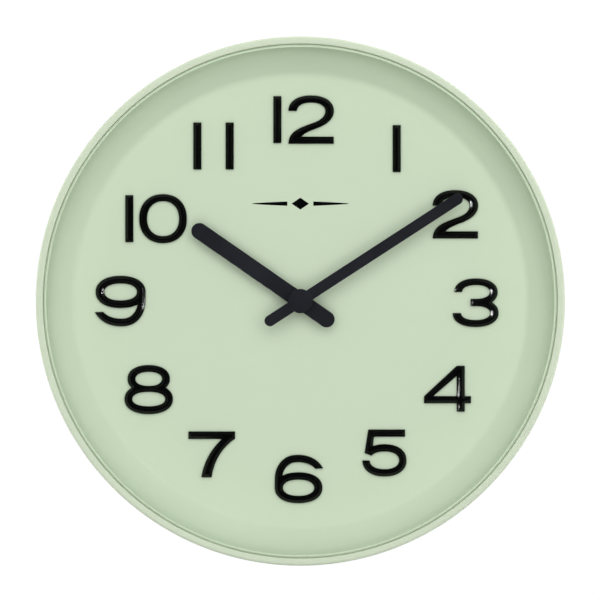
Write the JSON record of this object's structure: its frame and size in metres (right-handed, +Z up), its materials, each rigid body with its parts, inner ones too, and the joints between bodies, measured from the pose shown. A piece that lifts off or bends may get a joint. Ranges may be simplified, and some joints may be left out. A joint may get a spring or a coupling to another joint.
{
  "type": "wall clock",
  "caption": "Round wall clock with a deep dished dial, raised numerals, round-ended hands and a quartz movement behind a keyhole-hung case.",
  "frame": {"origin": "where the axis of the hands meets the plane of the wall", "axes": "+Y into the wall, so the clock faces -Y; +Z up towards the 12; +X to the right towards the 3"},
  "size_m": [0.3, 0.042, 0.3],
  "materials": {
    "case_plastic": "satin moulded plastic, pale green",
    "dial_plastic": "fine matt moulded plastic, pale green",
    "cover_plastic": "fine matt moulded plastic, pale green",
    "numeral_gloss": "polished black plastic",
    "hand_paint": "matt charcoal paint on aluminium",
    "movement_plastic": "spark-eroded black plastic",
    "inner_plastic": "natural plastic",
    "gear_plastic": "natural acetal",
    "knob_plastic": "off-white plastic",
    "bush_brass": "turned brass",
    "arbor_brass": "turned brass",
    "gasket_rubber": "matt rubber",
    "screw_steel": "zinc plated",
    "plate_steel": "zinc plated sheet",
    "core_steel": "electrical sheet",
    "magnet_steel": "sintered magnet",
    "contact_steel": "nickel plated spring strip",
    "crystal_can": "drawn can",
    "copper_wire": "enamelled copper wire",
    "board_green": "solder mask",
    "chip_black": "moulded epoxy",
    "cell_can": "plated can",
    "cell_sleeve": "printed film"
  },
  "bodies": {
    "case": {"case_ring": "case_plastic", "dial": "dial_plastic", "rear_cover": "cover_plastic", "cover_screws": "screw_steel", "dial_screws": "screw_steel", "hanger_plate": "plate_steel", "hanger_screws": "screw_steel", "numeral_1": "numeral_gloss", "numeral_2": "numeral_gloss", "numeral_3": "numeral_gloss", "numeral_4": "numeral_gloss", "numeral_5": "numeral_gloss", "numeral_6": "numeral_gloss", "numeral_7": "numeral_gloss", "numeral_8": "numeral_gloss", "numeral_9": "numeral_gloss", "numeral_10": "numeral_gloss", "numeral_11": "numeral_gloss", "numeral_12": "numeral_gloss", "movement_front": "movement_plastic", "movement_back": "movement_plastic", "middle_plate": "inner_plastic", "threaded_bush": "bush_brass", "bush_washer": "bush_brass", "bush_nut": "bush_brass", "gasket": "gasket_rubber", "stator": "core_steel", "coil_bobbin": "inner_plastic", "coil_winding": "copper_wire", "circuit_board": "board_green", "crystal": "crystal_can", "ic_chip": "chip_black", "contact_positive": "contact_steel", "contact_negative": "contact_steel"},
    "minute": {"minute_hand": "hand_paint", "minute_arbor": "arbor_brass"},
    "hour": {"hour_hand": "hand_paint", "hour_wheel": "gear_plastic"},
    "minute_wheel": {"minute_wheel": "gear_plastic"},
    "knob": {"setting_knob": "knob_plastic"},
    "second_wheel": {"second_wheel": "gear_plastic"},
    "third_wheel": {"third_wheel": "gear_plastic"},
    "centre_wheel": {"centre_wheel": "gear_plastic"},
    "intermediate_wheel": {"intermediate_wheel": "gear_plastic"},
    "rotor": {"rotor": "magnet_steel"},
    "battery": {"battery_cell": "cell_can", "battery_sleeve": "cell_sleeve"}
  },
  "joints": [
    {"name": "minute_hand_turn", "type": "hinge", "parent": "case", "child": "minute", "pos_m": [0, 0, 0], "axis": [0, 1, 0], "continuous": true},
    {"name": "hour_hand_turn", "type": "hinge", "parent": "case", "child": "hour", "pos_m": [0, 0, 0], "axis": [0, 1, 0], "continuous": true},
    {"name": "minute_wheel_turn", "type": "hinge", "parent": "case", "child": "minute_wheel", "pos_m": [0, 0, 0.0096], "axis": [0, 1, 0], "continuous": true},
    {"name": "setting_knob_turn", "type": "hinge", "parent": "case", "child": "knob", "pos_m": [-0.00831, 0, 0.0144], "axis": [0, 1, 0], "continuous": true},
    {"name": "second_wheel_turn", "type": "hinge", "parent": "case", "child": "second_wheel", "pos_m": [0, 0, 0], "axis": [0, 1, 0], "continuous": true},
    {"name": "third_wheel_turn", "type": "hinge", "parent": "case", "child": "third_wheel", "pos_m": [-0.0096, 0, 0], "axis": [0, 1, 0], "continuous": true},
    {"name": "centre_wheel_turn", "type": "hinge", "parent": "case", "child": "centre_wheel", "pos_m": [0, 0, 0], "axis": [0, 1, 0], "continuous": true},
    {"name": "intermediate_wheel_turn", "type": "hinge", "parent": "case", "child": "intermediate_wheel", "pos_m": [0.00648, 0, 0.00772], "axis": [0, 1, 0], "continuous": true},
    {"name": "rotor_turn", "type": "hinge", "parent": "case", "child": "rotor", "pos_m": [0.01628, 0, 0.00772], "axis": [0, 1, 0], "continuous": true},
    {"name": "battery_slide", "type": "slide", "parent": "case", "child": "battery", "axis": [0, 1, 0], "range_m": [0, 0.02]}
  ],
  "couplings": [
    {"joint": "hour_hand_turn", "follows": "minute_hand_turn", "ratio": 0.083333},
    {"joint": "minute_wheel_turn", "follows": "minute_hand_turn", "ratio": -0.33333},
    {"joint": "setting_knob_turn", "follows": "minute_hand_turn", "ratio": 1},
    {"joint": "third_wheel_turn", "follows": "second_wheel_turn", "ratio": -0.13333},
    {"joint": "centre_wheel_turn", "follows": "second_wheel_turn", "ratio": 0.016667},
    {"joint": "intermediate_wheel_turn", "follows": "second_wheel_turn", "ratio": -5},
    {"joint": "rotor_turn", "follows": "second_wheel_turn", "ratio": 30}
  ]
}
